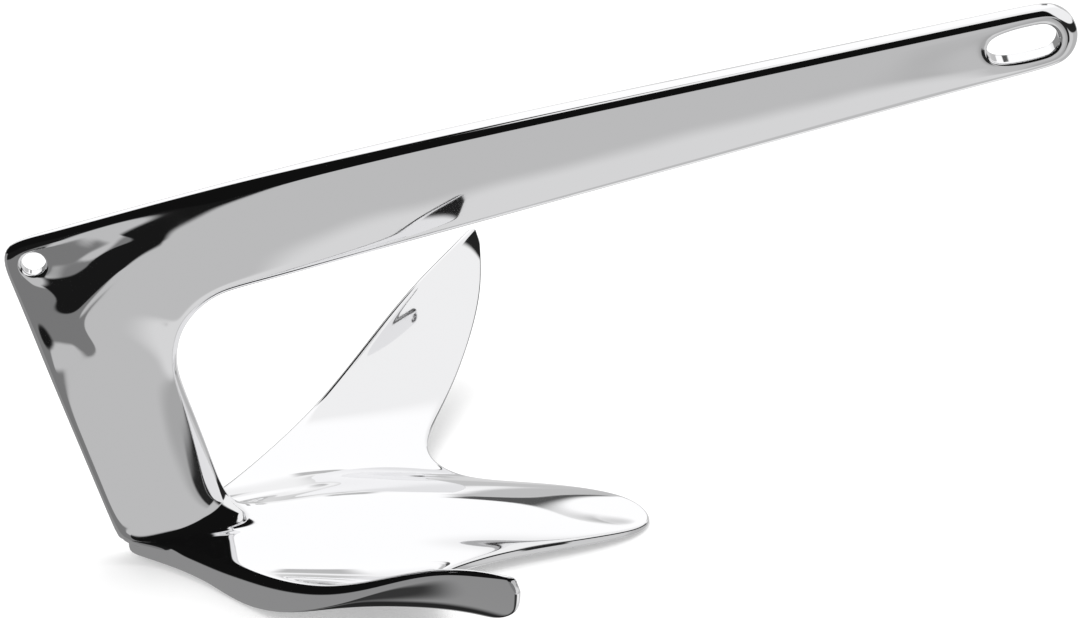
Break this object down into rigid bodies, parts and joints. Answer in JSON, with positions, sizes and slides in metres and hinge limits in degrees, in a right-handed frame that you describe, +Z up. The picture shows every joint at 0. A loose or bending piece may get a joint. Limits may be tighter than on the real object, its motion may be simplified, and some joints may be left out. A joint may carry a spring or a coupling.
{
  "type": "claw anchor",
  "caption": "One-piece polished stainless steel claw anchor: a bent shank with a shackle slot and a trip-line hole over a broad centre fluke and two raised side flukes.",
  "frame": {"origin": "on the ground under the middle of the anchor's box, as it rests on its flukes", "axes": "+X forward along the shank to the shackle slot, +Y across the flukes along the holes' axes, +Z up"},
  "size_m": [0.5734, 0.402, 0.2942],
  "materials": {
    "polished_steel": "mirror-polished stainless steel"
  },
  "bodies": {
    "root": {"claw_anchor": "polished_steel"}
  },
  "joints": []
}
